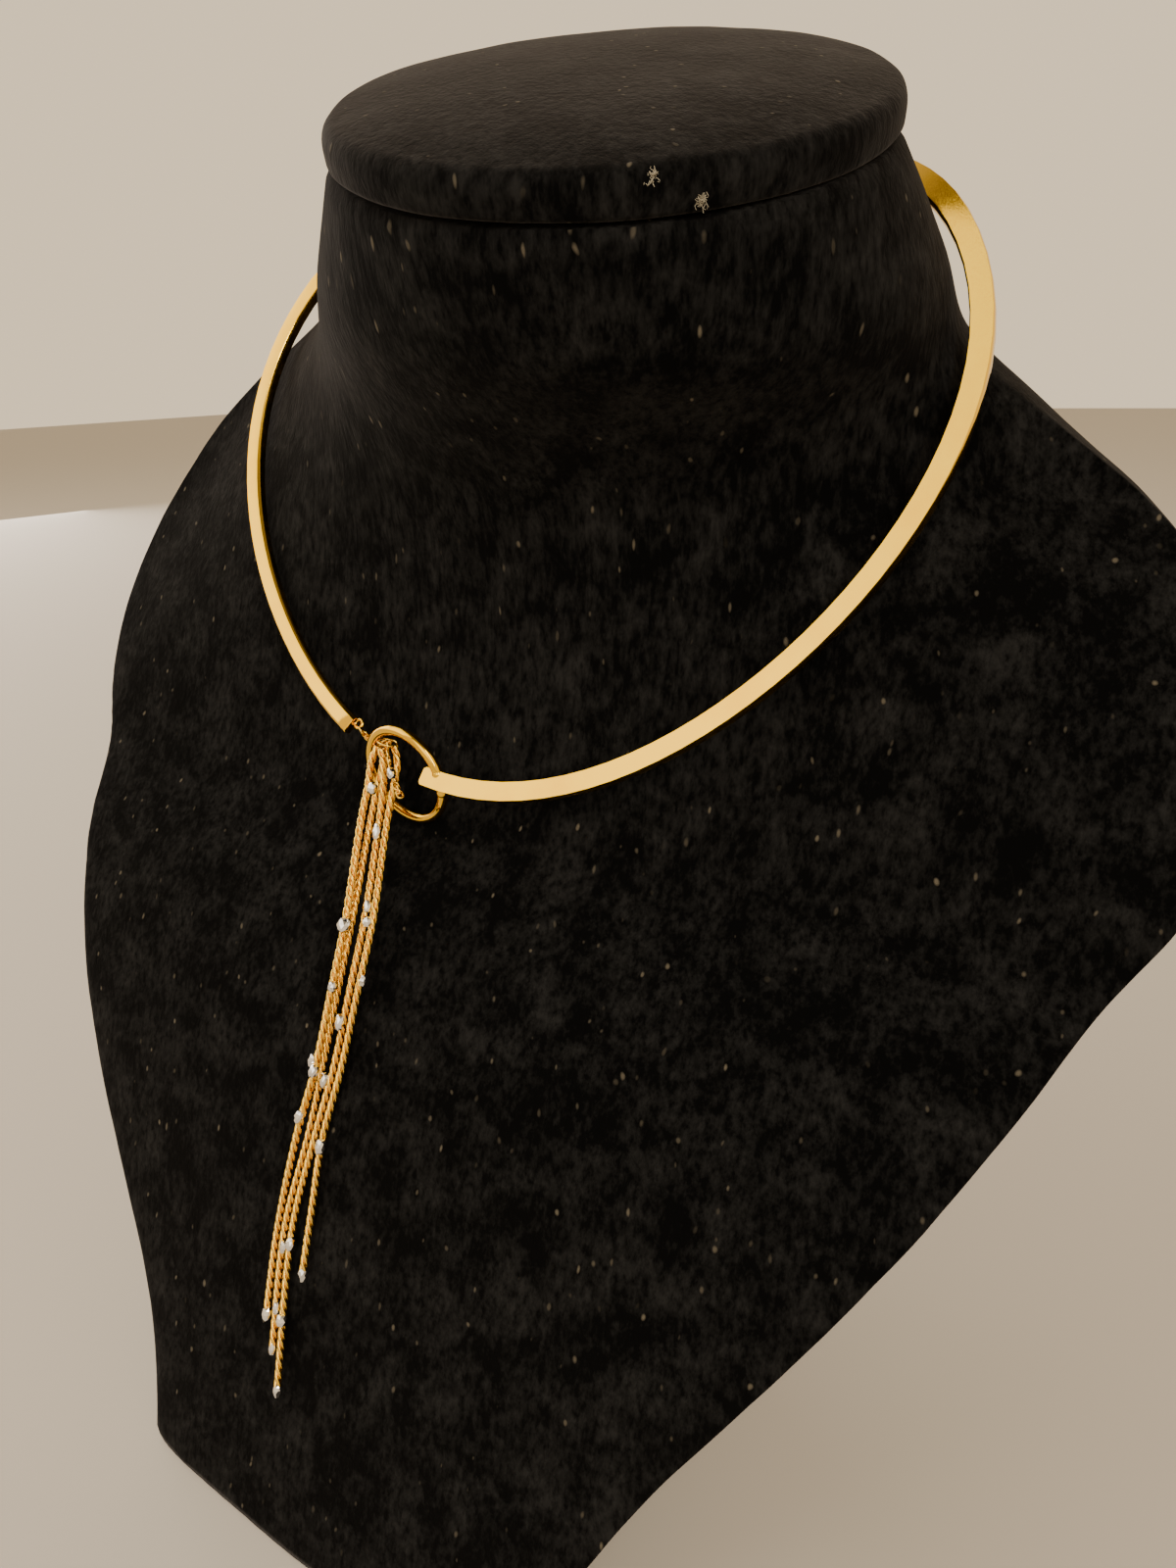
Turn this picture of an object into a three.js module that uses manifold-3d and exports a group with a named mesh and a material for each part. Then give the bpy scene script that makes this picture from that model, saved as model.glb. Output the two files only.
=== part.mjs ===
// A rigid gilt collar necklace with a chain tassel, shown on a velvet-covered neck bust.
// Millimetres, +Z up. The bust faces -Y, +X is the wearer's left, and it stands on z = 0.

import * as THREE from 'three';
import { mergeVertices } from 'three/addons/utils/BufferGeometryUtils.js';
import Module from 'manifold-3d';

const wasm = await Module();
wasm.setup();

const DEGREE = Math.PI / 180;
const UP = new THREE.Vector3(0, 0, 1);

// ---- Driving dimensions ----

const COLLAR_HEIGHT = 175; // centre of the collar's loop above the table
const COLLAR_HALF_WIDTH = 65;
const COLLAR_HALF_DEPTH = 59;
const COLLAR_TILT = 58.6 * DEGREE; // the loop's plane rises to the back by this much
const COLLAR_EGG = -0.169; // narrows the front of the loop and fills out its sides
const COLLAR_WAVE = -1.08; // out-of-plane wave of the loop
const NAPE_SETBACK = 26; // the nape of the collar is bent back and down round the neck
const NAPE_DROP = 6;
const NAPE_START = 122 * DEGREE;

const BAR_WIDTH = 3.2;
const BAR_THICKNESS = 1.8;
const BAR_BEVEL = 0.45;
const BAR_CANT = 95 * DEGREE; // how far the broad face is turned up from facing outward
const BAR_START = -7.7 * DEGREE; // angles round the loop, 0 at its lowest point
const BAR_END = 333.4 * DEGREE;
const BAR_STEPS = 120;

const RING_RADIUS = 8.45; // to the middle of the wire
const RING_WIRE = 0.8;
const RING_CENTRE = new THREE.Vector3(-12.5, -28.1, -51.9); // from the collar's centre
const RING_LEAN = -6 * DEGREE; // its lower edge stands forward by this much
const RING_TURN = -6.4 * DEGREE;

const EYE_RADIUS = 0.75;
const EYE_WIRE = 0.3;

const ROPE_RADIUS = 0.68;
const LINK_RADIUS = 0.5;
const THREAD_SIDES = 8;

const CAP_RADIUS = 39.2;
const CAP_THICKNESS = 5;
const CAP_CENTRE = new THREE.Vector3(14.95, -2.6, 43.2); // from the collar's centre
const CAP_LEAN = 22 * DEGREE; // forward
const CAP_SIDEWAYS = 9 * DEGREE; // towards the wearer's left

// Sections of the bust, from its foot to its neck. height is above the table, side and y place the
// section's middle, lean tips it forward, and front and back are its depths either way from there.
// hollow is 1 for a rounded front, and more where the neck stands out between the shoulders.
const BUST_SECTIONS = [
  // height side   y   lean halfWidth front back hollow
  [0, -2.5, -86, 0, 41, 2.5, 86, 1],
  [14, -3, -79.5, 0, 44.5, 2.5, 84, 1],
  [28, -3.5, -73, 0, 51.5, 2.5, 82, 1],
  [42, -5, -66.5, 0, 60.5, 2.5, 79, 1],
  [59, -5.75, -59, 0, 71.75, 2.5, 74, 1],
  [80, -5, -49, 0, 83.5, 2.5, 68, 1],
  [99, -3.75, -37, 0, 92.75, 2.5, 61, 1],
  [109, -2.75, -27.6, 0, 97.25, 2.5, 57, 1],
  [116, -1.75, -22.4, 0, 100.75, 2.5, 55, 1],
  [123, -1.5, -18.6, 0, 104, 3.5, 53, 1.1],
  [137, -1, -10.5, 0, 107, 7.5, 50, 1.6],
  [153, 0, 0, 1, 105, 16, 45, 2.4],
  [166, -0.4, 7, 4, 95.2, 24, 42, 2.9],
  [175, 0.6, 11, 8, 85.8, 30, 40, 3.1],
  [185, 3.9, 12, 12, 70.1, 36, 40, 2.4],
  [194, 7.4, 11, 16, 55.3, 40, 38, 1.3],
  [203, 11.1, 7, 20, 49.3, 41, 34, 1],
  [215.5, 13.7, -1.5, 22, 39.9, 36.2, 34.5, 1],
];
const BUST_ROWS = 34;
const BUST_COLUMNS = 52;

// Routes of the tassel's chains from the collar's centre: behind the top of the clasp ring,
// forward through it, over its lower edge, and down the chest.
const STRAND_ROUTES = {
  strand_1: [
    [-17.9, -28.2, -47.5], [-18.7, -29.4, -50], [-18.9, -30.8, -54], [-18.8, -34.0, -60],
    [-15.8, -43.4, -73], [-15.2, -49.3, -83], [-15.8, -55.2, -96], [-17.8, -60.1, -108],
    [-19.5, -66.6, -125], [-18.6, -73.4, -139.5],
  ],
  strand_2: [
    [-16.9, -26.4, -46.9], [-17.1, -28.0, -50], [-17.2, -30.2, -54], [-17.5, -32.9, -60],
    [-15.7, -41.5, -73], [-15.1, -47.4, -83], [-15.6, -53.3, -96], [-16.1, -59.0, -108],
    [-17.9, -66.6, -125], [-15.9, -75.6, -144.3],
  ],
  strand_3: [
    [-16.2, -29.3, -47.2], [-15.5, -30.0, -50], [-15.5, -30.8, -54], [-15.5, -33.0, -60],
    [-13.1, -41.6, -73], [-12.6, -47.5, -83], [-13.2, -53.4, -96], [-14.5, -59.2, -108],
    [-16.2, -66.6, -125], [-13.5, -77.8, -149.3],
  ],
  strand_4: [
    [-15.1, -27.2, -47.2], [-13.9, -28.3, -50], [-13.8, -30.2, -54], [-13.8, -33.0, -60],
    [-11.3, -41.6, -73], [-10.9, -47.5, -83], [-11.6, -53.4, -96], [-12.8, -59.2, -108],
    [-12.8, -63.8, -119], [-12.3, -68.8, -129.5],
  ],
  strand_5: [
    [-14.2, -30.0, -47.4], [-12.7, -31.4, -50.3], [-9.8, -33.0, -53.2],
  ],
};

// The small links from the eye on the collar's end to the head of the tassel, behind the ring.
const LINK_ROUTE = [
  [-22.3, -27.3, -45.7], [-21.9, -26.4, -47.3], [-20.0, -25.6, -48.3], [-17.8, -25.7, -47.8],
];

// ---- Shapes ----

function solid(positions, triangles) {
  const geometry = new THREE.BufferGeometry();
  geometry.setAttribute('position', new THREE.Float32BufferAttribute(positions, 3));
  geometry.setIndex(triangles);
  return geometry;
}

// Rings of points joined into one closed skin, or into a loop when the last ring meets the first.
function skin(rings, looped = false) {
  const sides = rings[0].length;
  const positions = rings.flat().flatMap((point) => point.toArray());
  const triangles = [];
  const last = looped ? rings.length : rings.length - 1;
  for (let row = 0; row < last; row += 1) {
    const next = (row + 1) % rings.length;
    for (let side = 0; side < sides; side += 1) {
      const a = row * sides + side;
      const b = row * sides + ((side + 1) % sides);
      const c = next * sides + ((side + 1) % sides);
      const d = next * sides + side;
      triangles.push(a, b, c, a, c, d);
    }
  }
  if (!looped) {
    for (const [row, flip] of [[0, true], [rings.length - 1, false]]) {
      const middle = rings[row].reduce((sum, p) => sum.add(p), new THREE.Vector3()).divideScalar(sides);
      const hub = positions.length / 3;
      positions.push(...middle.toArray());
      for (let side = 0; side < sides; side += 1) {
        const a = row * sides + side;
        const b = row * sides + ((side + 1) % sides);
        triangles.push(...(flip ? [hub, b, a] : [hub, a, b]));
      }
    }
  }
  return solid(positions, triangles);
}

// One column of a table, read smoothly between its rows.
function columnAt(table, column, place) {
  const low = Math.min(Math.floor(place), table.length - 2);
  const part = place - low;
  const value = (row) => table[Math.min(Math.max(row, 0), table.length - 1)][column];
  const [p, q, r, s] = [value(low - 1), value(low), value(low + 1), value(low + 2)];
  const bend = (2 * p - 5 * q + 4 * r - s) * part ** 2 + (3 * q - p - 3 * r + s) * part ** 3;
  return q + 0.5 * ((r - p) * part + bend);
}

function bustSection(place) {
  const [height, side, y, lean, halfWidth, front, back, hollow] =
    BUST_SECTIONS[0].map((_, column) => columnAt(BUST_SECTIONS, column, place));
  const tipForward = Math.tan(lean * DEGREE);
  const tipSideways = tipForward * Math.tan(CAP_SIDEWAYS) / Math.tan(CAP_LEAN);
  const ring = [];
  for (let column = 0; column < BUST_COLUMNS; column += 1) {
    const angle = 2 * Math.PI * column / BUST_COLUMNS;
    const across = halfWidth * Math.cos(angle);
    const sine = Math.sin(angle);
    const depth = sine < 0 ? -front * Math.abs(sine) ** hollow : back * sine;
    ring.push(new THREE.Vector3(
      side + across, y + depth, height + depth * tipForward - across * tipSideways));
  }
  return ring;
}

function bustForm() {
  const rings = [];
  for (let row = 0; row <= BUST_ROWS; row += 1) {
    rings.push(bustSection((BUST_SECTIONS.length - 1) * row / BUST_ROWS));
  }
  return skin(rings);
}

// A padded disc with a round rim, turned about Z round its own middle.
function neckCap() {
  const rim = CAP_THICKNESS / 2;
  const profile = [new THREE.Vector2(0, -rim), new THREE.Vector2(CAP_RADIUS - 0.3, -rim)];
  for (let step = 3; step <= 8; step += 1) {
    const angle = (step / 8 - 0.5) * Math.PI;
    profile.push(new THREE.Vector2(CAP_RADIUS - rim + rim * Math.cos(angle), rim * Math.sin(angle)));
  }
  profile.push(new THREE.Vector2(CAP_RADIUS * 0.6, rim + 1.8), new THREE.Vector2(0, rim + 2.4));
  return new THREE.LatheGeometry(profile, 48).rotateX(Math.PI / 2);
}

// Middle line of the collar's bar, from the collar's centre; angle 0 is the lowest point.
function collarPoint(angle) {
  const turn = Math.abs(((angle + Math.PI) % (2 * Math.PI)) - Math.PI);
  const nape = THREE.MathUtils.smoothstep(turn, NAPE_START, Math.PI);
  const x = COLLAR_HALF_WIDTH * Math.sin(angle) * (1 + COLLAR_EGG * Math.cos(angle));
  const y = -COLLAR_HALF_DEPTH * Math.cos(angle);
  const z = COLLAR_WAVE * Math.cos(2 * angle);
  return new THREE.Vector3(
    x,
    y * Math.cos(COLLAR_TILT) - z * Math.sin(COLLAR_TILT) + NAPE_SETBACK * nape,
    y * Math.sin(COLLAR_TILT) + z * Math.cos(COLLAR_TILT) - NAPE_DROP * nape);
}

// Directions at a place on the bar: along it, down its width, and out of its broad face.
function barFrame(angle) {
  const step = 0.001;
  const along = collarPoint(angle + step).sub(collarPoint(angle - step)).normalize();
  const loopNormal = new THREE.Vector3(0, -Math.sin(COLLAR_TILT), Math.cos(COLLAR_TILT));
  const outward = along.clone().cross(loopNormal).normalize();
  const upward = outward.clone().cross(along).negate().normalize();
  if (upward.dot(loopNormal) < 0) upward.negate();
  const down = upward.clone().multiplyScalar(-Math.cos(BAR_CANT)).addScaledVector(outward, Math.sin(BAR_CANT));
  const face = outward.clone().multiplyScalar(Math.cos(BAR_CANT)).addScaledVector(upward, Math.sin(BAR_CANT));
  return { along, down, face };
}

function barSection(angle) {
  const { down, face } = barFrame(angle);
  const w = BAR_WIDTH / 2;
  const t = BAR_THICKNESS / 2;
  const corners = [
    [w - BAR_BEVEL, t], [w, t - BAR_BEVEL], [w, -t], [-w, -t], [-w, t - BAR_BEVEL], [-w + BAR_BEVEL, t],
  ];
  return corners.map(([across, out]) =>
    collarPoint(angle).addScaledVector(down, across).addScaledVector(face, out));
}

// A round wire bent into a circle.
function wireRing(radius, wire, steps, sides) {
  return new THREE.TorusGeometry(radius, wire, sides, steps);
}

function toManifold(geometry) {
  const bare = geometry.clone();
  bare.deleteAttribute('normal');
  bare.deleteAttribute('uv');
  const merged = mergeVertices(bare, 1e-4);
  return new wasm.Manifold(new wasm.Mesh({
    numProp: 3,
    vertProperties: new Float32Array(merged.attributes.position.array),
    triVerts: new Uint32Array(merged.index.array),
  }));
}

function fromManifold(manifold) {
  const mesh = manifold.getMesh();
  return solid(Array.from(mesh.vertProperties), Array.from(mesh.triVerts));
}

// The bar with the clasp ring soldered behind one end and the wire eye on the other.
function collarWithRing() {
  const rings = [];
  for (let step = 0; step <= BAR_STEPS; step += 1) {
    rings.push(barSection(BAR_START + (BAR_END - BAR_START) * step / BAR_STEPS));
  }
  const bar = toManifold(skin(rings));

  const ring = wireRing(RING_RADIUS, RING_WIRE, 48, 10);
  ring.rotateX(Math.PI / 2 - RING_LEAN).rotateZ(RING_TURN);
  ring.translate(RING_CENTRE.x, RING_CENTRE.y, RING_CENTRE.z);

  const { along, down, face } = barFrame(BAR_END);
  const eye = wireRing(EYE_RADIUS, EYE_WIRE, 20, 8);
  const across = new THREE.Matrix4().makeBasis(along, down, face);
  eye.applyMatrix4(across);
  const eyeCentre = collarPoint(BAR_END)
    .addScaledVector(along, EYE_RADIUS * 0.8)
    .addScaledVector(down, -BAR_WIDTH / 2 + EYE_RADIUS * 0.7)
    .addScaledVector(face, -BAR_THICKNESS / 4);
  eye.translate(eyeCentre.x, eyeCentre.y, eyeCentre.z);
  return fromManifold(bar.add(toManifold(ring)).add(toManifold(eye)));
}

// A thread of round section along points, as one closed tube.
function thread(points, radius, spacing) {
  const curve = new THREE.CatmullRomCurve3(points, false, 'centripetal');
  const outline = new THREE.Shape();
  for (let side = 0; side < THREAD_SIDES; side += 1) {
    const angle = 2 * Math.PI * side / THREAD_SIDES;
    const corner = [radius * Math.cos(angle), radius * Math.sin(angle)];
    if (side === 0) outline.moveTo(...corner);
    else outline.lineTo(...corner);
  }
  outline.closePath();
  return new THREE.ExtrudeGeometry(outline, {
    extrudePath: curve,
    steps: Math.max(4, Math.round(curve.getLength() / spacing)),
    bevelEnabled: false,
  });
}

// ---- The assembly ----

const velvet = new THREE.MeshStandardMaterial({ color: 0x141214, roughness: 1, metalness: 0 });
const capVelvet = velvet.clone();
const gilt = new THREE.MeshStandardMaterial({ color: 0xe8c583, roughness: 0.22, metalness: 1 });
const chainGilt = new THREE.MeshStandardMaterial({ color: 0xdcae62, roughness: 0.3, metalness: 1 });

const object = new THREE.Group();

function addPiece(name, geometry, material, parent = object) {
  const mesh = new THREE.Mesh(geometry, material.clone());
  mesh.name = name;
  parent.add(mesh);
  return mesh;
}

addPiece('bust_form', bustForm(), velvet);

const collarLevel = new THREE.Group();
collarLevel.position.z = COLLAR_HEIGHT;
object.add(collarLevel);

const cap = addPiece('neck_cap', neckCap(), capVelvet, collarLevel);
cap.position.copy(CAP_CENTRE);
cap.quaternion.setFromUnitVectors(UP, new THREE.Vector3(
  Math.sin(CAP_SIDEWAYS),
  -Math.sin(CAP_LEAN) * Math.cos(CAP_SIDEWAYS),
  Math.cos(CAP_LEAN) * Math.cos(CAP_SIDEWAYS)));

addPiece('collar_with_ring', collarWithRing(), gilt, collarLevel);

addPiece('link_chain', thread(
  LINK_ROUTE.map((point) => new THREE.Vector3(...point)), LINK_RADIUS, 1), chainGilt, collarLevel);

for (const [name, route] of Object.entries(STRAND_ROUTES)) {
  const points = route.map((point) => new THREE.Vector3(...point));
  addPiece(name, thread(points, ROPE_RADIUS, 3.2), chainGilt, collarLevel);
}

// The origin is the middle of the object's footprint.
const box = new THREE.Box3().setFromObject(object);
object.position.set(-(box.min.x + box.max.x) / 2, -(box.min.y + box.max.y) / 2, -box.min.z);

const root = new THREE.Group();
root.add(object);

export default root;
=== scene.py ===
# A rigid gilt collar choker with a tassel of twisted chains, on a black velvet neck bust.
# Metres, +Z up. The bust faces -Y, +X is the wearer's left, and it stands on z = 0.

import math
import random

import bmesh
import bpy
from mathutils import Euler, Matrix, Vector
from mathutils.geometry import interpolate_bezier


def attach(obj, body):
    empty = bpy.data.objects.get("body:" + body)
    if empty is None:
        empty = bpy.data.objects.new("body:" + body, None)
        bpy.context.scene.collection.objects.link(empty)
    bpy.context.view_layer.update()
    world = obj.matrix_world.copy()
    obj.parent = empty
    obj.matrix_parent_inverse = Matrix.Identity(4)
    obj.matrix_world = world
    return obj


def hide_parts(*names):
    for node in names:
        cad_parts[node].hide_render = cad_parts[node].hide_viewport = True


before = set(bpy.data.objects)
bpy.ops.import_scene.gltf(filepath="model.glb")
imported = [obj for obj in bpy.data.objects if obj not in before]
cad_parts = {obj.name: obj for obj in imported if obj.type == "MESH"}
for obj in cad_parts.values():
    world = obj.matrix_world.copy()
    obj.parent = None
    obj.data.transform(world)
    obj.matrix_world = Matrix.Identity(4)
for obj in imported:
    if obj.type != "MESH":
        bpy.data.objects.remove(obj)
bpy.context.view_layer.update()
bpy.ops.object.select_all(action="DESELECT")
MM = 0.001


# ---- Camera ----
# A hand-held camera close in front of the bust's right shoulder, a little above the collar,
# with a wide lens. It looks down at the clasp and across to the other shoulder.

bpy.ops.object.camera_add(location=(0.085463, -0.120818, 0.186170))
camera = bpy.context.active_object
camera.name = "camera"
look_down, look_across, roll = math.radians(24.907), math.radians(29.662), math.radians(-1.400)
forward = Vector((-math.sin(look_across) * math.cos(look_down),
                  math.cos(look_across) * math.cos(look_down), -math.sin(look_down)))
level = Vector((math.cos(look_across), math.sin(look_across), 0.0))
upright = level.cross(forward)
right = level * math.cos(roll) + upright * math.sin(roll)
upward = upright * math.cos(roll) - level * math.sin(roll)
camera.rotation_euler = Matrix((right, upward, -forward)).transposed().to_euler()
camera.data.lens = 20.67
camera.data.sensor_width = 36.0
camera.data.clip_start = 0.005
camera.data.clip_end = 20.0
bpy.context.scene.camera = camera


# ---- Velvet form ----
# The neck and chest of the display: a moulded form covered in black rayon velvet, which is
# stretched over it, glued, and turned under at the foot. The pile is short and catches lint.

def copy_of_cad(node, name):
    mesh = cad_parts[node].data.copy()
    mesh.materials.clear()
    piece = bpy.data.objects.new(name, mesh)
    bpy.context.scene.collection.objects.link(piece)
    return piece


def only(piece):
    bpy.ops.object.select_all(action="DESELECT")
    piece.select_set(True)
    bpy.context.view_layer.objects.active = piece


def pick(piece, kind, test):
    # Leaves the piece in edit mode with the vertices, edges or faces that pass the test selected.
    only(piece)
    bpy.ops.object.mode_set(mode="EDIT")
    bpy.ops.mesh.select_mode(type=kind)
    bpy.ops.mesh.select_all(action="DESELECT")
    cage = bmesh.from_edit_mesh(piece.data)
    items = {"VERT": cage.verts, "EDGE": cage.edges, "FACE": cage.faces}[kind]
    for item in items:
        if test(item):
            item.select_set(True)
    bmesh.update_edit_mesh(piece.data)


def done():
    # Ends the editing that pick began.
    bpy.ops.object.mode_set(mode="OBJECT")


def apply_modifiers(piece):
    only(piece)
    for modifier in list(piece.modifiers):
        bpy.ops.object.modifier_apply(modifier=modifier.name)


def place_in_mesh(piece):
    only(piece)
    bpy.ops.object.transform_apply(location=True, rotation=True, scale=True)


def settle(piece):
    # The piece's place goes into its mesh, and it rides on the one body.
    place_in_mesh(piece)
    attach(piece, "root")


bust = copy_of_cad("bust_form", "velvet_bust")
pick(bust, "VERT", lambda vertex: True)
bpy.ops.mesh.remove_doubles(threshold=0.00001)
bpy.ops.mesh.tris_convert_to_quads(face_threshold=math.radians(60), shape_threshold=math.radians(75))
done()
pick(bust, "EDGE", lambda edge: len(edge.link_faces) == 2 and edge.calc_face_angle(0) > 0.9)
bpy.ops.transform.edge_crease(value=0.8)
done()
smoothing = bust.modifiers.new("smooth_form", "SUBSURF")
smoothing.levels = smoothing.render_levels = 2
apply_modifiers(bust)
bpy.ops.object.shade_smooth()

# Slight unevenness where the cloth was drawn over the form.
drawn = bpy.data.textures.new("drawn_cloth", "CLOUDS")
drawn.noise_scale = 0.022


def draw_cloth(piece, depth):
    unevenness = piece.modifiers.new("drawn_cloth", "DISPLACE")
    unevenness.texture = drawn
    unevenness.texture_coords = "LOCAL"
    unevenness.strength = depth
    unevenness.mid_level = 0.55


draw_cloth(bust, 0.7 * MM)
apply_modifiers(bust)


def new_group(name, inputs, outputs):
    group = bpy.data.node_groups.new(name, "ShaderNodeTree")
    for label, kind, value in inputs:
        socket = group.interface.new_socket(name=label, in_out="INPUT", socket_type=kind)
        socket.default_value = value
    for label, kind in outputs:
        group.interface.new_socket(name=label, in_out="OUTPUT", socket_type=kind)
    return group


def add_node(tree, kind, values=None, links=None, **settings):
    node = tree.nodes.new(kind)
    for key, value in settings.items():
        setattr(node, key, value)
    for key, value in (values or {}).items():
        node.inputs[key].default_value = value
    for key, source in (links or {}).items():
        tree.links.new(source, node.inputs[key])
    return node


# Short pile with soft streaks, brushed patches, and fine lint caught in it.
pile = new_group("velvet_pile", [
    ("Coordinates", "NodeSocketVector", (0, 0, 0)),
    ("Deep", "NodeSocketColor", (0.0017, 0.0017, 0.0017, 1)),
    ("Brushed", "NodeSocketColor", (0.0150, 0.0147, 0.0142, 1)),
    ("Lint", "NodeSocketColor", (0.20, 0.17, 0.12, 1)),
    ("Lint amount", "NodeSocketFloat", 0.5),
], [("Color", "NodeSocketColor"), ("Height", "NodeSocketFloat")])
into = pile.nodes.new("NodeGroupInput")
out = pile.nodes.new("NodeGroupOutput")
place = into.outputs["Coordinates"]
streak_space = add_node(pile, "ShaderNodeMapping", {"Scale": (1.0, 1.0, 0.32)}, {"Vector": place})
streaks = add_node(pile, "ShaderNodeTexNoise",
                   {"Scale": 900.0, "Detail": 3.0, "Roughness": 0.7},
                   {"Vector": streak_space.outputs["Vector"]})
patches = add_node(pile, "ShaderNodeTexNoise",
                   {"Scale": 130.0, "Detail": 4.0, "Roughness": 0.6, "Distortion": 0.4}, {"Vector": place})
shade = add_node(pile, "ShaderNodeMath", operation="MULTIPLY",
                 links={0: streaks.outputs["Fac"], 1: patches.outputs["Fac"]})
tone = add_node(pile, "ShaderNodeMapRange", {"From Min": 0.19, "From Max": 0.42},
                {"Value": shade.outputs[0]})
cloth = add_node(pile, "ShaderNodeMix", data_type="RGBA")
pile.links.new(tone.outputs["Result"], cloth.inputs["Factor"])
pile.links.new(into.outputs["Deep"], cloth.inputs["A"])
pile.links.new(into.outputs["Brushed"], cloth.inputs["B"])

lint_space = add_node(pile, "ShaderNodeMapping", {"Scale": (1.0, 1.0, 0.42), "Rotation": (0.1, 0.25, 0.3)},
                      {"Vector": place})
bent = add_node(pile, "ShaderNodeTexNoise", {"Scale": 300.0, "Detail": 1.0},
                {"Vector": lint_space.outputs["Vector"]})
bending = add_node(pile, "ShaderNodeVectorMath", operation="MULTIPLY_ADD",
                   links={0: bent.outputs["Color"], 2: lint_space.outputs["Vector"]})
bending.inputs[1].default_value = (0.0016, 0.0016, 0.0016)
specks = add_node(pile, "ShaderNodeTexVoronoi", {"Scale": 400.0, "Randomness": 1.0},
                  {"Vector": bending.outputs["Vector"]})
near = add_node(pile, "ShaderNodeMapRange", {"From Min": 0.15, "From Max": 0.07},
                {"Value": specks.outputs["Distance"]})
chance = add_node(pile, "ShaderNodeSeparateColor", links={"Color": specks.outputs["Color"]})
few = add_node(pile, "ShaderNodeMapRange", {"From Min": 0.45, "From Max": 1.0},
               {"Value": chance.outputs[0]})
lint = add_node(pile, "ShaderNodeMath", operation="MULTIPLY",
                links={0: near.outputs["Result"], 1: few.outputs["Result"]})
amount = add_node(pile, "ShaderNodeMath", operation="MULTIPLY",
                  links={0: lint.outputs[0], 1: into.outputs["Lint amount"]})
linted = add_node(pile, "ShaderNodeMix", data_type="RGBA")
pile.links.new(amount.outputs[0], linted.inputs["Factor"])
pile.links.new(cloth.outputs["Result"], linted.inputs["A"])
pile.links.new(into.outputs["Lint"], linted.inputs["B"])
height = add_node(pile, "ShaderNodeMath", operation="ADD",
                  links={0: streaks.outputs["Fac"], 1: lint.outputs[0]})
pile.links.new(linted.outputs["Result"], out.inputs["Color"])
pile.links.new(height.outputs[0], out.inputs["Height"])


def velvet_material(name, lint_amount, sheen):
    material = bpy.data.materials.new(name)
    material.use_nodes = True
    tree = material.node_tree
    shader = tree.nodes["Principled BSDF"]
    place = add_node(tree, "ShaderNodeTexCoord")
    cloth = add_node(tree, "ShaderNodeGroup", node_tree=pile)
    cloth.inputs["Lint amount"].default_value = lint_amount
    tree.links.new(place.outputs["Object"], cloth.inputs["Coordinates"])
    nap = add_node(tree, "ShaderNodeBump", {"Strength": 0.55, "Distance": 0.3 * MM},
                   {"Height": cloth.outputs["Height"]})
    tree.links.new(cloth.outputs["Color"], shader.inputs["Base Color"])
    tree.links.new(nap.outputs["Normal"], shader.inputs["Normal"])
    shader.inputs["Roughness"].default_value = 1.0
    shader.inputs["Specular IOR Level"].default_value = 0.03
    shader.inputs["Sheen Weight"].default_value = sheen
    shader.inputs["Sheen Roughness"].default_value = 0.38
    shader.inputs["Sheen Tint"].default_value = (0.74, 0.67, 0.64, 1)
    return material


bust.data.materials.append(velvet_material("black_velvet", lint_amount=0.5, sheen=0.09))
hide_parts("bust_form")
settle(bust)


# ---- Neck cap ----
# A foam disc covered in the same velvet, with a round rim and a soft crown. It is pressed onto
# the top of the neck, so a crease runs round under its rim.

cap_radius, cap_thickness = 39.2 * MM, 5.0 * MM
cap_centre = Vector((15.772, 12.061, 218.2)) * MM
lean, sideways = math.radians(22), math.radians(9)
cap_facing = Vector((math.sin(sideways), -math.sin(lean) * math.cos(sideways),
                     math.cos(lean) * math.cos(sideways)))
bpy.ops.mesh.primitive_cylinder_add(vertices=72, radius=cap_radius, depth=cap_thickness,
                                    end_fill_type="NGON")
cap = bpy.context.active_object
cap.name = "velvet_neck_cap"
for side, roundness in ((1, 0.55), (-1, 0.16)):
    pick(cap, "EDGE", lambda edge: all(v.co.z * side > 0.49 * cap_thickness for v in edge.verts))
    bpy.ops.mesh.bevel(offset=roundness * cap_thickness, segments=6, affect="EDGES", clamp_overlap=True)
    done()
for inset, rise in ((5.0, 0.9), (8.0, 0.8), (11.0, 0.55)):
    pick(cap, "FACE", lambda face: len(face.verts) > 20 and face.normal.z > 0.9)
    bpy.ops.mesh.inset(thickness=inset * MM)
    bpy.ops.transform.translate(value=(0, 0, rise * MM))
    done()
pick(cap, "FACE", lambda face: len(face.verts) > 20)
bpy.ops.mesh.poke()
done()
softening = cap.modifiers.new("soft", "SUBSURF")
softening.levels = softening.render_levels = 1
draw_cloth(cap, 0.6 * MM)
apply_modifiers(cap)
bpy.ops.object.shade_smooth()
cap.rotation_mode = "QUATERNION"
cap.rotation_quaternion = Vector((0, 0, 1)).rotation_difference(cap_facing)
cap.location = cap_centre
cap.data.materials.append(velvet_material("cap_velvet", lint_amount=0.5, sheen=0.14))
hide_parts("neck_cap")
settle(cap)


# ---- Collar bar ----
# One length of flat gilt brass bar, bent round the neck into a rigid C. Its outer face has a
# narrow chamfer along each edge, the free end is rounded, and it was polished after bending.

collar_centre = Vector((0.822, 14.661, 175.0)) * MM
tilt = math.radians(58.6)
loop_half_width, loop_half_length = 65, 59
nape_start = math.radians(122)
bar_start, bar_end = math.radians(-7.7), math.radians(333.4)
bar_width, bar_thickness, bar_chamfer, bar_cant = 3.2 * MM, 1.8 * MM, 0.45 * MM, math.radians(95)


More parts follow.
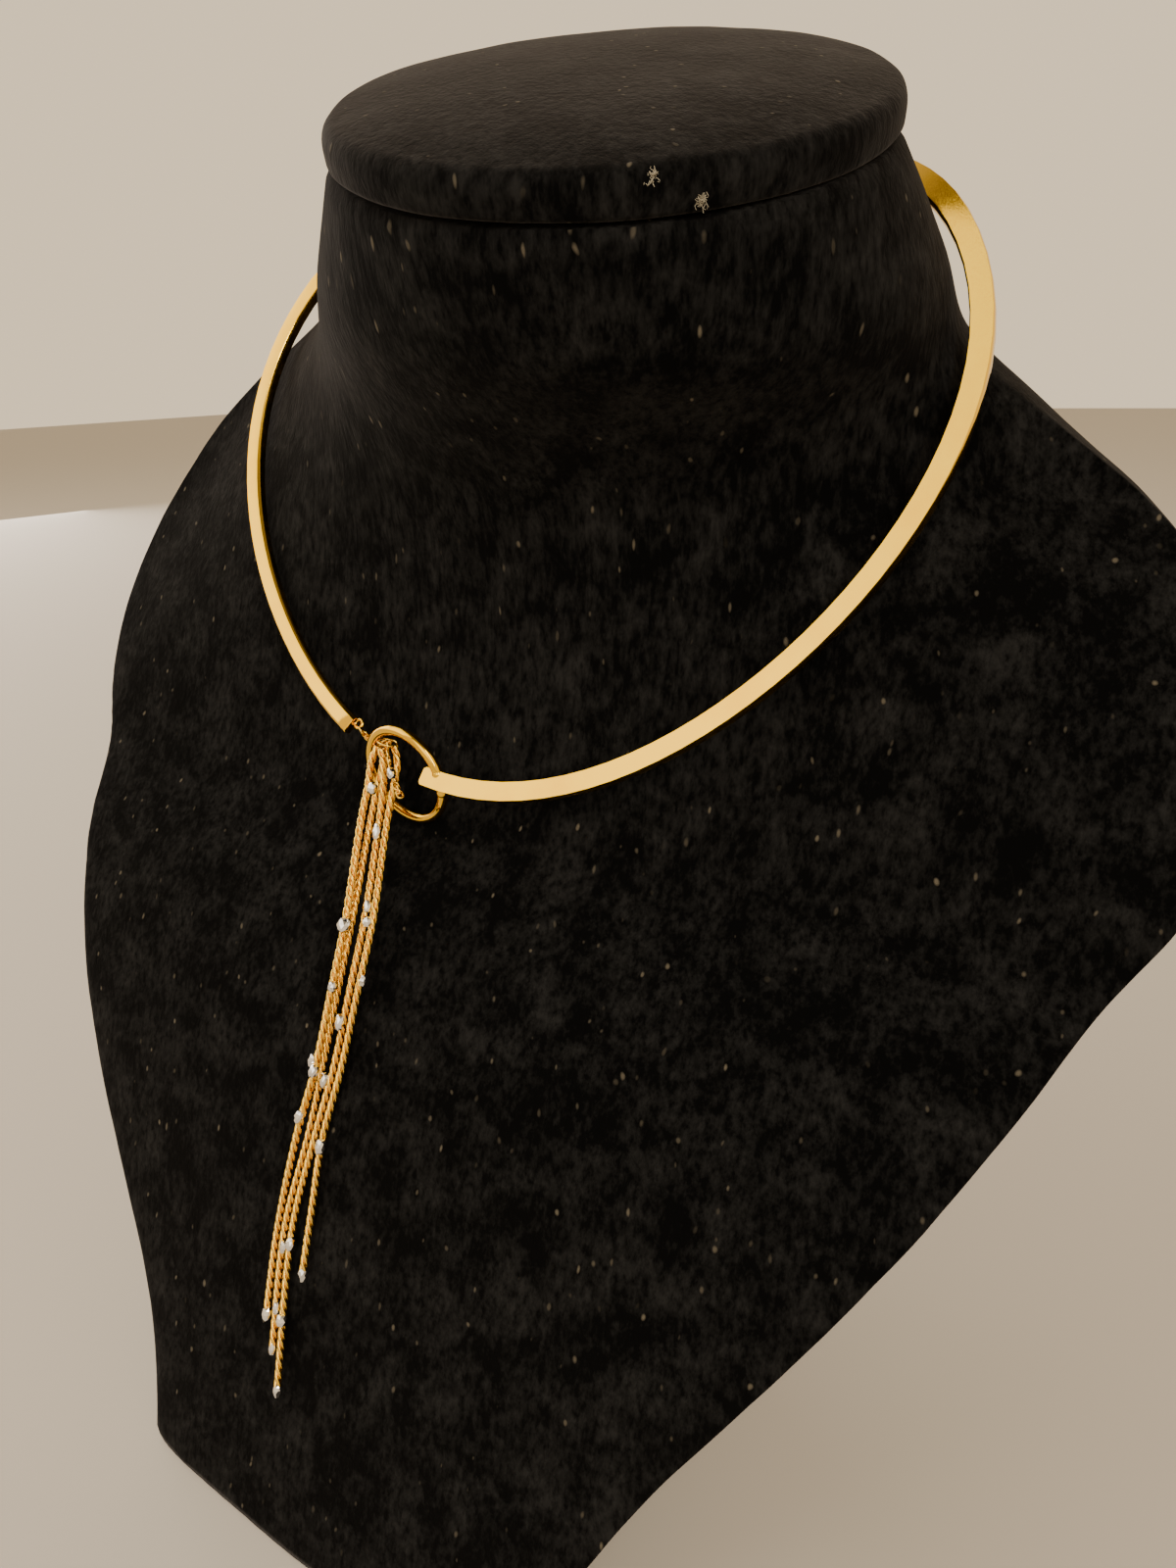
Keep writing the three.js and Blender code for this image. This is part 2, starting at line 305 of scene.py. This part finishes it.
def loop_point(angle):
    # A place on the bar's middle line in the loop's own plane; angle 0 is the lowest point. Past
    # nape_start the bar is set back round the nape of the neck.
    turn = abs(((angle + math.pi) % (2 * math.pi)) - math.pi)
    part = min(max((turn - nape_start) / (math.pi - nape_start), 0.0), 1.0)
    nape = part * part * (3 - 2 * part)
    back, up = 26 * nape, -6 * nape
    return Vector((
        loop_half_width * math.sin(angle) * (1 - 0.169 * math.cos(angle)),
        -loop_half_length * math.cos(angle) + back * math.cos(tilt) + up * math.sin(tilt),
        -1.08 * math.cos(2 * angle) - back * math.sin(tilt) + up * math.cos(tilt))) * MM


def route_curve(name, points):
    path = bpy.data.curves.new(name, "CURVE")
    path.dimensions = "3D"
    path.twist_mode = "Z_UP"
    path.use_stretch = True
    path.use_deform_bounds = True
    line = path.splines.new("POLY")
    line.points.add(len(points) - 1)
    for spot, point in zip(line.points, points):
        spot.co = (*point, 1)
    holder = bpy.data.objects.new(name, path)
    bpy.context.scene.collection.objects.link(holder)
    return holder


bar_line = [loop_point(bar_start + (bar_end - bar_start) * step / 360) for step in range(361)]
bar_length = sum((b - a).length for a, b in zip(bar_line, bar_line[1:]))
bpy.ops.mesh.primitive_cube_add(size=1, location=(bar_length / 2, 0, 0),
                                scale=(bar_length, bar_thickness, bar_width))
bar = bpy.context.active_object
bar.name = "collar_bar"
place_in_mesh(bar)
# The free end, at x = 0, loses its corners; the other end is sawn off square.
pick(bar, "EDGE", lambda edge: all(v.co.x < 1e-6 for v in edge.verts)
     and abs(edge.verts[0].co.y - edge.verts[1].co.y) > 1e-6)
bpy.ops.mesh.bevel(offset=0.7 * MM, segments=5, affect="EDGES")
done()
pick(bar, "EDGE", lambda edge: all(v.co.y < -0.49 * bar_thickness for v in edge.verts)
     and len(edge.link_faces) == 2 and edge.calc_face_angle(0) > 1.0
     and max(v.co.x for v in edge.verts) - min(v.co.x for v in edge.verts) > 0.5 * bar_length)
bpy.ops.mesh.bevel(offset=bar_chamfer, segments=1, affect="EDGES")
done()
pick(bar, "EDGE", lambda edge: len(edge.link_faces) == 2 and edge.calc_face_angle(0) > 0.6)
bpy.ops.mesh.bevel(offset=0.09 * MM, segments=2, affect="EDGES")
done()
pick(bar, "EDGE", lambda edge: abs(edge.verts[0].co.x - edge.verts[1].co.x) > 0.5 * bar_length)
bpy.ops.mesh.subdivide(number_cuts=240)
done()
bar.rotation_euler = (-bar_cant, 0, 0)
place_in_mesh(bar)
bar_route = route_curve("bar_route", bar_line)
bending = bar.modifiers.new("bent_round", "CURVE")
bending.object = bar_route
bending.deform_axis = "POS_X"
apply_modifiers(bar)
bpy.data.objects.remove(bar_route)
only(bar)
bpy.ops.object.shade_smooth_by_angle(angle=math.radians(24))
bar.rotation_euler = (tilt, 0, 0)
bar.location = collar_centre

# Hairline scratches, slight unevenness from hand polishing, and faint tarnish.
polish = new_group("hand_polish", [
    ("Coordinates", "NodeSocketVector", (0, 0, 0)),
    ("Fineness", "NodeSocketFloat", 1.0),
    ("Metal", "NodeSocketColor", (0.9, 0.68, 0.36, 1)),
    ("Tarnish", "NodeSocketColor", (0.62, 0.38, 0.14, 1)),
    ("Smooth", "NodeSocketFloat", 0.1),
    ("Dull", "NodeSocketFloat", 0.26),
], [("Color", "NodeSocketColor"), ("Roughness", "NodeSocketFloat"), ("Height", "NodeSocketFloat")])
into = polish.nodes.new("NodeGroupInput")
out = polish.nodes.new("NodeGroupOutput")
scaled = add_node(polish, "ShaderNodeVectorMath", operation="SCALE",
                  links={0: into.outputs["Coordinates"], "Scale": into.outputs["Fineness"]})
scratch_space = add_node(polish, "ShaderNodeMapping",
                         {"Scale": (1.0, 1.0, 0.12), "Rotation": (0.5, 0.4, 0.2)},
                         {"Vector": scaled.outputs["Vector"]})
scratches = add_node(polish, "ShaderNodeTexNoise", {"Scale": 5200.0, "Detail": 2.0, "Roughness": 0.7},
                     {"Vector": scratch_space.outputs["Vector"]})
waves = add_node(polish, "ShaderNodeTexNoise", {"Scale": 190.0, "Detail": 2.0, "Roughness": 0.5},
                 {"Vector": scaled.outputs["Vector"]})
stain = add_node(polish, "ShaderNodeTexNoise", {"Scale": 60.0, "Detail": 4.0, "Roughness": 0.65},
                 {"Vector": scaled.outputs["Vector"]})
stained = add_node(polish, "ShaderNodeMapRange", {"From Min": 0.45, "From Max": 0.95},
                   {"Value": stain.outputs["Fac"]})
metal = add_node(polish, "ShaderNodeMix", data_type="RGBA")
polish.links.new(stained.outputs["Result"], metal.inputs["Factor"])
polish.links.new(into.outputs["Metal"], metal.inputs["A"])
polish.links.new(into.outputs["Tarnish"], metal.inputs["B"])
rough = add_node(polish, "ShaderNodeMapRange", {"From Min": 0.35, "From Max": 0.75},
                 {"Value": scratches.outputs["Fac"],
                  "To Min": into.outputs["Smooth"], "To Max": into.outputs["Dull"]})
relief = add_node(polish, "ShaderNodeMath", {1: 3.0},
                  {0: waves.outputs["Fac"], 2: scratches.outputs["Fac"]}, operation="MULTIPLY_ADD")
polish.links.new(metal.outputs["Result"], out.inputs["Color"])
polish.links.new(rough.outputs["Result"], out.inputs["Roughness"])
polish.links.new(relief.outputs[0], out.inputs["Height"])


def metal_material(name, metal, tarnish, smooth, dull, fineness=1.0):
    material = bpy.data.materials.new(name)
    material.use_nodes = True
    tree = material.node_tree
    shader = tree.nodes["Principled BSDF"]
    place = add_node(tree, "ShaderNodeTexCoord")
    surface = add_node(tree, "ShaderNodeGroup", node_tree=polish)
    surface.inputs["Fineness"].default_value = fineness
    surface.inputs["Metal"].default_value = (*metal, 1)
    surface.inputs["Tarnish"].default_value = (*tarnish, 1)
    surface.inputs["Smooth"].default_value = smooth
    surface.inputs["Dull"].default_value = dull
    tree.links.new(place.outputs["Object"], surface.inputs["Coordinates"])
    marks = add_node(tree, "ShaderNodeBump", {"Strength": 0.12, "Distance": 0.02 * MM},
                     {"Height": surface.outputs["Height"]})
    tree.links.new(surface.outputs["Color"], shader.inputs["Base Color"])
    tree.links.new(surface.outputs["Roughness"], shader.inputs["Roughness"])
    tree.links.new(marks.outputs["Normal"], shader.inputs["Normal"])
    shader.inputs["Metallic"].default_value = 1.0
    return material


gilt = metal_material("polished_gilt", metal=(0.96, 0.58, 0.035), tarnish=(0.82, 0.42, 0.02),
                      smooth=0.05, dull=0.14)
bar.data.materials.append(gilt)
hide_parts("collar_with_ring")
settle(bar)


# ---- Clasp ring ----
# A ring of round gilt wire soldered behind the bar's rounded end. The wearer drops the tassel
# through it to close the collar.

ring_radius, ring_wire = 8.45 * MM, 0.88 * MM
ring_centre = collar_centre + Vector((-12.5, -28.1, -51.9)) * MM
ring_turn = (math.radians(96), 0, math.radians(-6.4))
bpy.ops.mesh.primitive_torus_add(
    major_segments=128, minor_segments=24, major_radius=ring_radius, minor_radius=ring_wire,
    location=ring_centre, rotation=ring_turn)
ring = bpy.context.active_object
ring.name = "clasp_ring"
bpy.ops.object.shade_smooth()
ring.data.materials.append(gilt)
settle(ring)

# The solder that fills the angle between the wire and the bar, on the upper and the lower edge.
for index, (angle, size) in enumerate(((15.0, 1.05), (-9.0, 1.0))):
    angle = math.radians(angle)
    spot = ring_centre + Euler(ring_turn).to_matrix() @ Vector((
        ring_radius * math.cos(angle), ring_radius * math.sin(angle), 0))
    bpy.ops.mesh.primitive_uv_sphere_add(segments=24, ring_count=14, radius=size * MM, location=spot)
    solder = bpy.context.active_object
    solder.name = f"ring_solder_{index + 1}"
    bpy.ops.object.shade_smooth()
    solder.data.materials.append(gilt)
    settle(solder)


# ---- Wire eye ----
# A small loop of wire soldered into the sawn end of the bar, which carries the tassel.

def in_place(point):
    return collar_centre + Matrix.Rotation(tilt, 3, "X") @ point


def bar_directions(angle):
    along = (in_place(loop_point(angle + 0.001)) - in_place(loop_point(angle - 0.001))).normalized()
    loop_normal = Vector((0, -math.sin(tilt), math.cos(tilt)))
    outward = along.cross(loop_normal).normalized()
    up = along.cross(outward).normalized()
    if up.dot(loop_normal) < 0:
        up.negate()
    down = -up * math.cos(bar_cant) + outward * math.sin(bar_cant)
    face = outward * math.cos(bar_cant) + up * math.sin(bar_cant)
    return along, down, face


eye_radius, eye_wire = 0.75 * MM, 0.3 * MM
along, down, face = bar_directions(bar_end)
eye_centre = (in_place(loop_point(bar_end)) + along * 0.60 * MM
              + down * (0.525 * MM - bar_width / 2) - face * 0.45 * MM)
bpy.ops.mesh.primitive_torus_add(major_segments=40, minor_segments=14,
                                 major_radius=eye_radius, minor_radius=eye_wire)
eye = bpy.context.active_object
eye.name = "wire_eye"
eye.matrix_world = Matrix.Translation(eye_centre) @ Matrix((along, down, face)).transposed().to_4x4()
bpy.ops.object.shade_smooth()
eye.data.materials.append(gilt)
settle(eye)


# ---- Small links ----
# Oval links of fine gilt wire, each a quarter turn from the last, from the eye down behind the
# clasp ring to the jump ring that gathers the chains.

def smooth_route(points, count):
    # A smooth line through the points of a route, read at even steps.
    points = [Vector(point) for point in points]
    line = []
    for index in range(len(points) - 1):
        before = points[index - 1] if index else points[0] * 2 - points[1]
        start, stop = points[index], points[index + 1]
        after = points[index + 2] if index + 2 < len(points) else points[-1] * 2 - points[-2]
        reach = (stop - start).length
        lead = (stop - before).normalized() * reach / 3
        tail = (after - start).normalized() * reach / 3
        line += interpolate_bezier(start, start + lead, stop - tail, stop, 24)[:-1]
    line.append(points[-1])
    lengths = [0.0]
    for a, b in zip(line, line[1:]):
        lengths.append(lengths[-1] + (b - a).length)
    even, seek = [], 0
    for step in range(count):
        want = lengths[-1] * step / (count - 1)
        while seek < len(line) - 2 and lengths[seek + 1] < want:
            seek += 1
        span = lengths[seek + 1] - lengths[seek]
        even.append(line[seek].lerp(line[seek + 1], (want - lengths[seek]) / span if span else 0))
    return [collar_centre + point * MM for point in even], lengths[-1] * MM


def joined(pieces, name):
    only(pieces[0])
    for piece in pieces:
        piece.select_set(True)
    bpy.ops.object.join()
    whole = bpy.context.active_object
    whole.name = name
    return whole


def set_along(piece, spot, direction, spin):
    # The piece's own Z is laid along a direction, after a spin about it.
    turn = Vector((0, 0, 1)).rotation_difference(direction).to_matrix() @ Matrix.Rotation(spin, 3, "Z")
    piece.matrix_world = Matrix.Translation(spot) @ turn.to_4x4()
    place_in_mesh(piece)


chain_gilt = metal_material("chain_gilt", metal=(1.0, 0.64, 0.10), tarnish=(0.80, 0.42, 0.04),
                            smooth=0.12, dull=0.24, fineness=1.6)


def oval_link(radius, wire, stretch):
    bpy.ops.mesh.primitive_torus_add(major_segments=28, minor_segments=10, major_radius=radius,
                                     minor_radius=wire, rotation=(math.radians(90), 0, 0))
    link = bpy.context.active_object
    place_in_mesh(link)
    for end in (1, -1):
        pick(link, "VERT", lambda vertex: vertex.co.z * end > 1e-6)
        bpy.ops.transform.translate(value=(0, 0, end * stretch / 2))
        done()
    bpy.ops.object.shade_smooth()
    return link


link_route = smooth_route(
    [(-22.3, -27.3, -45.5), (-21.9, -26.3, -47.2), (-20.0, -25.6, -48.3), (-17.8, -25.7, -47.8)], 8)[0]
links = []
for index, (spot, ahead) in enumerate(zip(link_route, link_route[1:])):
    link = oval_link(0.50 * MM, 0.22 * MM, 0.5 * MM)
    set_along(link, spot.lerp(ahead, 0.5), ahead - spot, math.radians(90 * (index % 2) + 25))
    links.append(link)
# The jump ring that holds the heads of the four chains.
gather = oval_link(1.75 * MM, 0.22 * MM, 0.0)
set_along(gather, collar_centre + Vector((-16.5, -27.3, -46.9)) * MM, Vector((0.15, 1, -0.25)), 0.0)
links.append(gather)
small_links = joined(links, "small_links")
small_links.data.materials.append(chain_gilt)
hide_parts("link_chain")
settle(small_links)


# ---- Rope chains ----
# Rope chain of about 1.4 mm: three pairs of fine gilt wire links twisted together, with a new
# lobe every 1.75 mm. Each hangs through the clasp ring and lies down the chest on its own way.

lobe_pitch = 1.75 * MM
# Places on each chain's middle line, in millimetres from the collar's centre.
rope_routes = {
    "strand_1": [(-17.9, -28.2, -47.5), (-18.7, -29.4, -50), (-18.9, -30.8, -54), (-18.8, -34.0, -60),
                 (-15.8, -43.4, -73), (-15.2, -49.3, -83), (-15.8, -55.2, -96), (-17.8, -60.1, -108),
                 (-19.5, -66.6, -125), (-18.6, -73.4, -139.5)],
    "strand_2": [(-16.9, -26.4, -46.9), (-17.1, -28.0, -50), (-17.2, -30.2, -54), (-17.5, -32.9, -60),
                 (-15.7, -41.5, -73), (-15.1, -47.4, -83), (-15.6, -53.3, -96), (-16.1, -59.0, -108),
                 (-17.9, -66.6, -125), (-15.9, -75.6, -144.3)],
    "strand_3": [(-16.2, -29.3, -47.2), (-15.5, -30.0, -50), (-15.5, -30.8, -54), (-15.5, -33.0, -60),
                 (-13.1, -41.6, -73), (-12.6, -47.5, -83), (-13.2, -53.4, -96), (-14.5, -59.2, -108),
                 (-16.2, -66.6, -125), (-13.5, -77.8, -149.3)],
    "strand_4": [(-15.1, -27.2, -47.2), (-13.9, -28.3, -50), (-13.8, -30.2, -54), (-13.8, -33.0, -60),
                 (-11.3, -41.6, -73), (-10.9, -47.5, -83), (-11.6, -53.4, -96), (-12.8, -59.2, -108),
                 (-12.8, -63.8, -119), (-12.3, -68.8, -129.5)],
}


def rope(name, points, pairs, radius, spread, wire):
    # Small circles round the axis, and one on it that fills the middle, are screwed along it into
    # twisted wires, then laid on the route.
    route, length = smooth_route(points, 160)
    bpy.ops.mesh.primitive_circle_add(vertices=8, radius=0.62 * radius, fill_type="NOTHING",
                                      rotation=(0, math.radians(90), 0))
    wires = [bpy.context.active_object]
    for pair in range(pairs):
        for side in (-1, 1):
            angle = 2 * math.pi * pair / pairs + side * spread
            bpy.ops.mesh.primitive_circle_add(
                vertices=7, radius=wire, fill_type="NOTHING", rotation=(0, math.radians(90), 0),
                location=(0, radius * math.cos(angle), radius * math.sin(angle)))
            wires.append(bpy.context.active_object)
    strand = joined(wires, name)
    place_in_mesh(strand)
    turns = length / (pairs * lobe_pitch)
    twist = strand.modifiers.new("twist", "SCREW")
    twist.axis = "X"
    twist.angle = -2 * math.pi * turns
    twist.screw_offset = length
    twist.steps = twist.render_steps = int(turns * 32)
    twist.use_smooth_shade = True
    apply_modifiers(strand)
    pick(strand, "EDGE", lambda edge: len(edge.link_faces) == 1)
    bpy.ops.mesh.edge_face_add()
    bpy.ops.mesh.select_all(action="SELECT")
    bpy.ops.mesh.normals_make_consistent(inside=False)
    done()
    holder = route_curve(name + "_route", route)
    laid = strand.modifiers.new("laid", "CURVE")
    laid.object = holder
    laid.deform_axis = "POS_X"
    apply_modifiers(strand)
    bpy.data.objects.remove(holder)
    return strand, route


routes = {}
for name, points in rope_routes.items():
    strand, routes[name] = rope("rope_" + name[-1], points, pairs=3, radius=0.42 * MM,
                                spread=math.radians(11), wire=0.27 * MM)
    strand.data.materials.append(chain_gilt)
    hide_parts(name)
    settle(strand)


# ---- Short end ----
# The fifth strand: a small jump ring and a link, a straight wire that carries one silver bead,
# and three more links. It hangs free in the opening of the clasp ring.

short_route = smooth_route([(-14.2, -30.0, -47.4), (-12.7, -31.4, -50.3), (-9.8, -33.0, -53.2)], 30)[0]
wire_middle, wire_direction = short_route[13], short_route[16] - short_route[10]
top_link = oval_link(0.62 * MM, 0.17 * MM, 0.1 * MM)
set_along(top_link, short_route[1], short_route[2] - short_route[0], math.radians(-35))
end_pieces = [top_link]
for index, step in enumerate((5, 22, 25, 28)):
    link = oval_link(0.48 * MM, 0.20 * MM, 0.42 * MM)
    set_along(link, short_route[step], short_route[step + 1] - short_route[step - 1],
              math.radians(90 * (index % 2) - 30))
    end_pieces.append(link)
bpy.ops.mesh.primitive_cylinder_add(vertices=12, radius=0.16 * MM, depth=4.6 * MM)
wire = bpy.context.active_object
bpy.ops.object.shade_smooth()
set_along(wire, wire_middle, wire_direction, 0.0)
end_pieces.append(wire)
short_end = joined(end_pieces, "short_end")
short_end.data.materials.append(chain_gilt)
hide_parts("strand_5")
settle(short_end)


# ---- Silver beads and end drops ----
# Little diamond-cut silver beads threaded on the chains at uneven distances and crimped on their
# ends. Two of the chains end in a pointed drop.

silver = metal_material("diamond_cut_silver", metal=(0.90, 0.89, 0.87), tarnish=(0.60, 0.58, 0.55),
                        smooth=0.02, dull=0.08, fineness=2.0)
bead_table = (
    # chain, height below the collar's centre, half-width, half-length, sideways, forward
    ("strand_2", -54.2, 0.95, 1.25, -0.4, 0.9),
    ("strand_3", -60.6, 0.80, 1.60, 0.2, 0.6),
    ("strand_1", -74.0, 1.30, 1.45, 0.2, 0.4),
    ("strand_4", -71.3, 0.85, 1.25, -1.3, 0.4),
    ("strand_4", -73.4, 0.90, 1.05, -0.7, 0.6),
    ("strand_1", -82.6, 0.85, 1.05, 0.4, 0.4),
    ("strand_4", -82.0, 0.70, 1.10, 0.6, 0.1),
    ("strand_3", -89.0, 0.95, 1.60, -0.4, 0.6),
    ("strand_1", -95.0, 0.80, 1.35, -0.9, 0.1),
    ("strand_1", -96.4, 0.90, 1.25, 0.2, 0.6),
    ("strand_3", -98.4, 0.90, 1.50, -1.0, 0.5),
    ("strand_1", -104.8, 0.90, 1.45, -0.3, 0.3),
    ("strand_4", -108.8, 1.00, 1.60, 0.1, 0.4),
    ("strand_3", -125.8, 0.90, 1.45, 0.4, 0.4),
    ("strand_2", -127.2, 0.70, 1.25, 0.8, 0.6),
    ("strand_1", -139.8, 0.95, 1.45, 0.1, 0.0),
    ("strand_2", -137.0, 0.65, 1.30, 0.4, 0.4),
    ("strand_2", -144.6, 0.75, 1.30, 0.0, 0.0),
    ("strand_3", -138.2, 1.00, 1.20, 0.1, 0.4),
)
picker = random.Random(7)
beads = []


def cut_bead(half_width, half_length):
    bpy.ops.mesh.primitive_ico_sphere_add(subdivisions=2, radius=1.0)
    bead = bpy.context.active_object
    pick(bead, "VERT", lambda vertex: abs(vertex.co.z) > 0.8)
    bpy.ops.transform.resize(value=(1.25, 1.25, 0.94), center_override=(0, 0, 0))
    done()
    bead.scale = (half_width, half_width, half_length)
    place_in_mesh(bead)
    return bead


def at_height(route, height):
    level = collar_centre.z + height * MM
    index = min(range(1, len(route) - 1), key=lambda i: abs(route[i].z - level))
    return route[index], (route[index + 1] - route[index - 1]).normalized()


for chain, height, half_width, half_length, sideways_mm, forward_mm in bead_table:
    spot, direction = at_height(routes[chain], height)
    bead = cut_bead(half_width * MM, half_length * MM)
    set_along(bead, spot + Vector((sideways_mm, -forward_mm, 0)) * MM, direction, picker.uniform(0, 6.28))
    beads.append(bead)
bead = cut_bead(0.78 * MM, 1.15 * MM)
set_along(bead, wire_middle, wire_direction, 0.4)
beads.append(bead)

for chain, half_width, half_length in (("strand_3", 0.78, 1.15), ("strand_4", 0.85, 1.1)):
    drop = cut_bead(half_width * MM, half_length * MM)
    for part, narrowing in ((0.5, (0.62, 0.62, 1.6)), (1.5, (0.25, 0.25, 1.0))):
        pick(drop, "VERT", lambda vertex: vertex.co.z > part * half_length * MM)
        bpy.ops.transform.resize(value=narrowing, center_override=(0, 0, 0))
        done()
    direction = (routes[chain][-1] - routes[chain][-4]).normalized()
    set_along(drop, routes[chain][-1] + direction * 0.2 * MM, direction, 0.3)
    beads.append(drop)
silver_beads = joined(beads, "silver_beads")
silver_beads.data.materials.append(silver)
settle(silver_beads)


# ---- Lint tufts ----
# Two tufts of pale cotton fibre caught on the front rim of the cap, as old velvet displays have.

cotton = bpy.data.materials.new("cotton_lint")
cotton.use_nodes = True
shader = cotton.node_tree.nodes["Principled BSDF"]
shader.inputs["Base Color"].default_value = (0.40, 0.36, 0.27, 1)
shader.inputs["Roughness"].default_value = 1.0
fibres = []
for middle, reach in (((36.4, -17.4, 204.4), 0.45), ((40.6, -13.8, 202.4), 0.55)):
    for count in range(34):
        path = [Vector(middle) * MM]
        for step in range(5):
            wander = Vector((picker.uniform(-0.6, 0.6), picker.uniform(-0.5, 0.3),
                             picker.uniform(-0.8, 0.6)))
            path.append(path[-1] + wander * reach * MM)
        fibre = route_curve("fibre", path)
        fibre.data.bevel_depth = 0.035 * MM
        fibre.data.bevel_resolution = 1
        fibre.data.use_fill_caps = True
        fibres.append(fibre)
lint_tufts = joined(fibres, "lint_tufts")
bpy.ops.object.convert(target="MESH")
lint_tufts = bpy.context.active_object
lint_tufts.data.materials.append(cotton)
settle(lint_tufts)


# ---- Floor and light ----
# A plain pale surface, and a soft studio: large lights high and low on the left, a narrow one on
# the right for a bright line on the bar, a fill from the front, and pale walls.

bpy.ops.mesh.primitive_plane_add(size=8.0, location=(0, 0, -0.0002))
floor = bpy.context.active_object
floor.name = "floor"
pale = bpy.data.materials.new("pale_floor")
pale.use_nodes = True
shader = pale.node_tree.nodes["Principled BSDF"]
shader.inputs["Base Color"].default_value = (0.60, 0.54, 0.46, 1)
shader.inputs["Roughness"].default_value = 0.8
floor.data.materials.append(pale)

world = bpy.data.worlds.new("soft_surround")
bpy.context.scene.world = world
world.use_nodes = True
room = world.node_tree
surround = room.nodes["Background"]
surround.inputs["Color"].default_value = (1.0, 0.80, 0.54, 1)
# The ceiling over the table is darker than the walls.
facing = add_node(room, "ShaderNodeTexCoord")
height = add_node(room, "ShaderNodeSeparateXYZ", {}, {"Vector": facing.outputs["Generated"]})
ceiling = add_node(room, "ShaderNodeMapRange",
                   {"From Min": 0.66, "From Max": 0.88, "To Min": 1.1, "To Max": 0.25},
                   {"Value": height.outputs["Z"]})
room.links.new(ceiling.outputs["Result"], surround.inputs["Strength"])


def area_light(name, place, aim, size, power, colour):
    bpy.ops.object.light_add(type="AREA", location=place)
    lamp = bpy.context.active_object
    lamp.name = name
    lamp.data.shape = "RECTANGLE"
    lamp.data.size, lamp.data.size_y = size
    lamp.data.energy = power
    lamp.data.color = colour
    lamp.rotation_euler = (Vector(aim) - Vector(place)).to_track_quat("-Z", "Y").to_euler()


area_light("high_left", (-1.0, -0.5, 1.1), (0, 0, 0.12), (1.6, 1.6), 13.0, (1.0, 0.94, 0.84))
area_light("left_window", (-1.3, 0.35, 0.45), (0, 0, 0.12), (0.8, 1.0), 9.0, (1.0, 0.94, 0.90))
area_light("right_strip", (0.75, -0.55, 0.7), (0.04, 0, 0.18), (0.12, 0.7), 3.5, (1.0, 0.96, 0.90))
area_light("front_fill", (0.3, -1.3, 0.9), (0, 0, 0.1), (1.0, 1.0), 5.0, (1.0, 0.97, 0.93))
